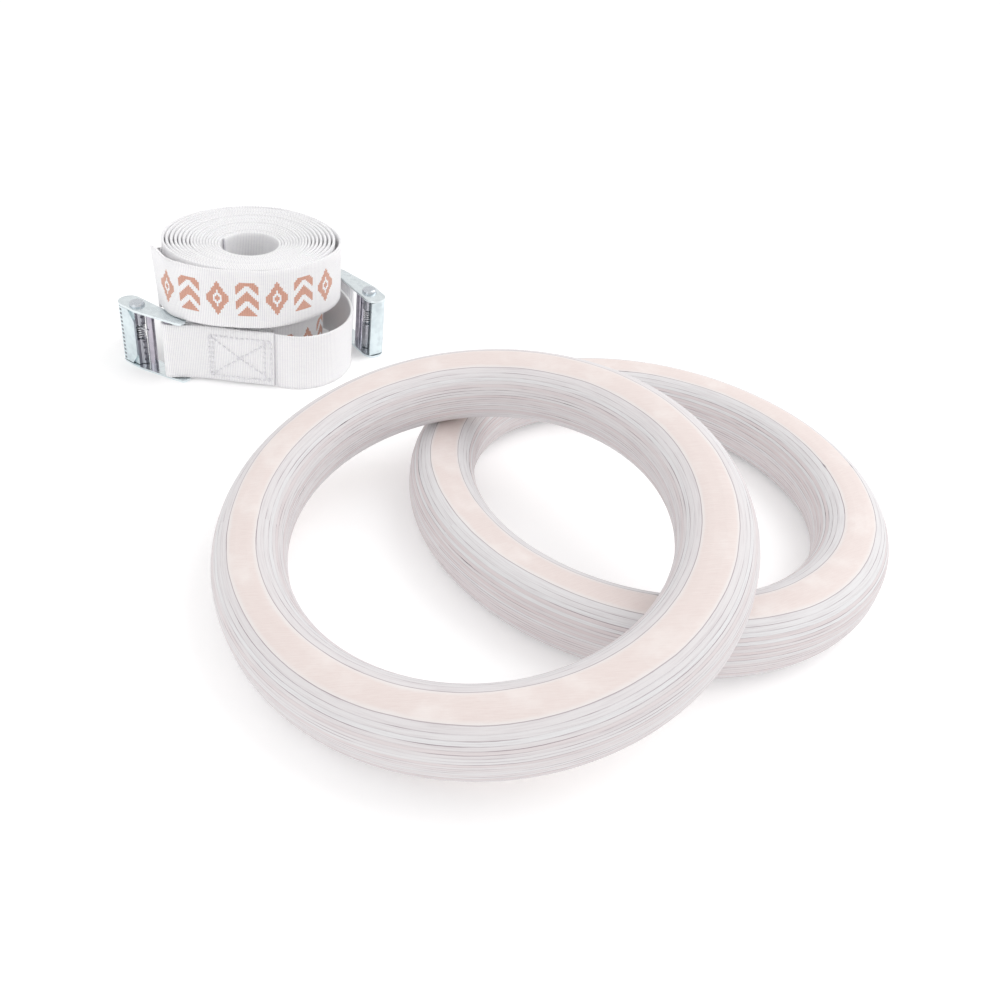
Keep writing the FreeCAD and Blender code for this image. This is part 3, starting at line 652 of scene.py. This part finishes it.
def upper_strap_heights():
    """The same for UPPER_ROUTE: a slope behind the lower coil, then level round the upper one."""
    steps = [math.dist(a, b) for a, b in zip([UPPER_ROUTE[0]] + UPPER_ROUTE, UPPER_ROUTE)]
    lengths = np.cumsum(steps)
    heights = []
    for i, length in enumerate(lengths):
        share = min(1.0, max(0.0, (length - CLIMB_FROM) / (lengths[SLOPE_ENDS_AT] - CLIMB_FROM)))
        height = LOW_AT_BUCKLE + (SLOPE_HEAD - LOW_AT_BUCKLE) * share
        if i > SLOPE_ENDS_AT:
            height = UPPER_COIL["low"] + UPPER_COIL["dish"]
        heights.append(height)
    return heights


def make_straps():
    lower = strap_line(LEFT_BAR, LOWER_ROUTE, lower_strap_heights(), spiral(**LOWER_COIL))
    upper = strap_line(RIGHT_BAR, UPPER_ROUTE, upper_strap_heights(), spiral(**UPPER_COIL))
    thread_material = thread()
    for level, line, first_motif, bar, route in (
            ("lower", lower, LOWER_FIRST_MOTIF, LEFT_BAR, LOWER_ROUTE),
            ("upper", upper, UPPER_FIRST_MOTIF, RIGHT_BAR, UPPER_ROUTE)):
        strap = weave_strap(level + "_strap", line, webbing(level + "_webbing", first_motif))
        seam = sew(level + "_strap_seam", bar, route, thread_material)
        body = level + "_strap"
        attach(strap, body)
        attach(seam, body)
        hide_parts(level + "_strap_stitching")
        cad = [n for n in nodes if n.startswith(level + "_strap") and "stitching" not in n]
        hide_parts(*cad)


# ---------------------------------------------------------------- rings and buckles

def finish_rings():
    turn = Matrix.Rotation(LEAN, 3, LEAN_AXIS).to_euler()
    for label, centre, euler, seed in (("back_ring", BACK_RING, (0, 0, 0.5), 11.0),
                                       ("front_ring", FRONT_RING, turn, 47.0)):
        nodes[label].data.materials.clear()
        nodes[label].data.materials.append(birch(label + "_birch", centre, euler, seed))


def wire_tube(name, points, radius, material):
    """A round wire along the points, closed at both ends."""
    around = 10
    path = np.array(points)
    run = np.gradient(path, axis=0)
    run /= np.linalg.norm(run, axis=1)[:, None]
    vertices = []
    for place, ahead in zip(path, run):
        aside = np.cross(ahead, (0.0, 0.0, 1.0))
        aside /= np.linalg.norm(aside)
        upwards = np.cross(aside, ahead)
        for k in range(around):
            turn = 2 * math.pi * k / around
            vertices.append(place + radius * (math.cos(turn) * aside + math.sin(turn) * upwards))
    return mesh_object(name, vertices, tube_faces(0, len(path), around), material)


def on_spring(degrees):
    """A point of the coil, by how far round it is from its hood leg."""
    angle = math.radians(90 + degrees)
    return (SPRING_RADIUS * math.cos(angle), SPRING_RADIUS * math.sin(angle),
            SPRING_LOW + SPRING_PITCH * degrees / 360)


def leg(start, end, height):
    """Points along a straight leg of the spring."""
    return [(start[0] + (end[0] - start[0]) * t, start[1] + (end[1] - start[1]) * t, height)
            for t in (0.0, 0.25, 0.5, 0.75, 1.0)]


def make_springs():
    """The coil and its bar leg stay with the buckle; the other leg turns with the lever."""
    material = spring_wire()
    high = SPRING_LOW + SPRING_PITCH * SPRING_TURNS
    start = (0.0, SPRING_RADIUS)
    coil = [on_spring(degrees) for degrees in range(0, 360 * SPRING_TURNS, 10)]
    coil += leg(start, BAR_LEG_END, high)
    hood_leg = leg(HOOD_LEG_END, start, SPRING_LOW)[:-1]
    hidden_turn = [on_spring(degrees) for degrees in range(0, 65, 10)]
    for side, (x, y, turned) in PINS.items():
        turn = Matrix.Rotation(math.radians(turned), 3, "Z")
        pin = Vector((x, y, 0.0))
        for name, points, radius, body in (
                ("spring_coil", coil, SPRING_WIRE, "buckle"),
                ("spring_leg", hood_leg + hidden_turn, 0.8 * SPRING_WIRE, "cam_lever")):
            placed = [tuple((turn @ Vector(p) + pin) * MM) for p in points]
            piece = wire_tube("%s_%s" % (side, name), placed, radius * MM, material)
            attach(piece, "%s_%s" % (side, body))
            if body == "buckle":
                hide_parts(side + "_buckle_spring")


def finish_buckles():
    plate = plated_steel("zinc_plate", rgb(230, 238, 240), rgb(198, 208, 213), 0.35, 0.15)
    bars = plated_steel("zinc_bars", rgb(192, 187, 197), rgb(148, 144, 156), 0.45, 0.16,
                        riveted=rgb(222, 230, 233))
    pin = plated_steel("zinc_pin", rgb(206, 211, 216), rgb(180, 188, 196), 0.3, 0.2)
    for side, pin_place in PINS.items():
        lever = plated_steel("zinc_lever_" + side, rgb(222, 233, 236), rgb(194, 205, 210), 0.6, 0.28,
                             grip=pin_place)
        for piece, material in (("upper_plate", plate), ("lower_plate", plate), ("clamp_bar", bars),
                                ("strap_bar", bars), ("cam_pin", pin), ("cam_lever", lever)):
            node = nodes["%s_buckle_%s" % (side, piece)]
            node.data.materials.clear()
            node.data.materials.append(material)
            if piece in ("upper_plate", "lower_plate", "cam_lever"):
                bevel = node.modifiers.new("worn_edges", "BEVEL")
                bevel.width = WORN_EDGE
                bevel.segments = 2
                bevel.limit_method = "ANGLE"
                bevel.angle_limit = math.radians(50)
                bevel.harden_normals = True


# ---------------------------------------------------------------- studio

def studio():
    """Even white surroundings, a soft lamp from the right, a weaker one from the left, a floor."""
    world = bpy.data.worlds.new("studio")
    bpy.context.scene.world = world
    world.use_nodes = True
    tree = world.node_tree
    tree.nodes["Background"].inputs["Strength"].default_value = 0.9
    tree.nodes["Background"].inputs["Color"].default_value = (1.0, 0.993, 0.993, 1.0)
    bpy.ops.mesh.primitive_plane_add(size=12)
    floor = bpy.context.object
    floor.name = "floor"
    floor.data.materials.append(floor_paint())
    for name, place, size, power in (("key", (1.0, 0.35, 1.2), 1.5, 9.0),
                                     ("fill", (-1.0, -0.95, 0.55), 1.2, 1.8)):
        data = bpy.data.lights.new(name, "AREA")
        data.shape = "DISK"
        data.size = size
        data.energy = power
        lamp = bpy.data.objects.new(name, data)
        lamp.location = place
        lamp.rotation_euler = (Vector(place) * -1).to_track_quat("-Z", "Y").to_euler()
        bpy.context.scene.collection.objects.link(lamp)
    bpy.context.scene.view_settings.view_transform = "Standard"


def place_camera():
    """Looking down from in front, with the frame turned slightly about the view."""
    pitch = math.radians(36.639)
    roll = math.radians(-3.7226)
    forward = Vector((0, math.cos(pitch), -math.sin(pitch)))
    down = Vector((0, -math.sin(pitch), -math.cos(pitch)))
    level = Vector((1, 0, 0))
    right = level * math.cos(roll) + down * math.sin(roll)
    lower = down * math.cos(roll) - level * math.sin(roll)
    data = bpy.data.cameras.new("camera")
    data.lens = 33.995
    data.sensor_width = 36
    data.shift_x = 0.11512
    data.shift_y = -0.02578
    data.clip_start = 0.01
    camera = bpy.data.objects.new("camera", data)
    camera.matrix_world = Matrix((right, -lower, -forward)).transposed().to_4x4()
    camera.location = (-0.0426, -0.4246, 0.3237)
    bpy.context.scene.collection.objects.link(camera)
    bpy.context.scene.camera = camera


studio()
place_camera()
finish_rings()
finish_buckles()
make_springs()
make_straps()
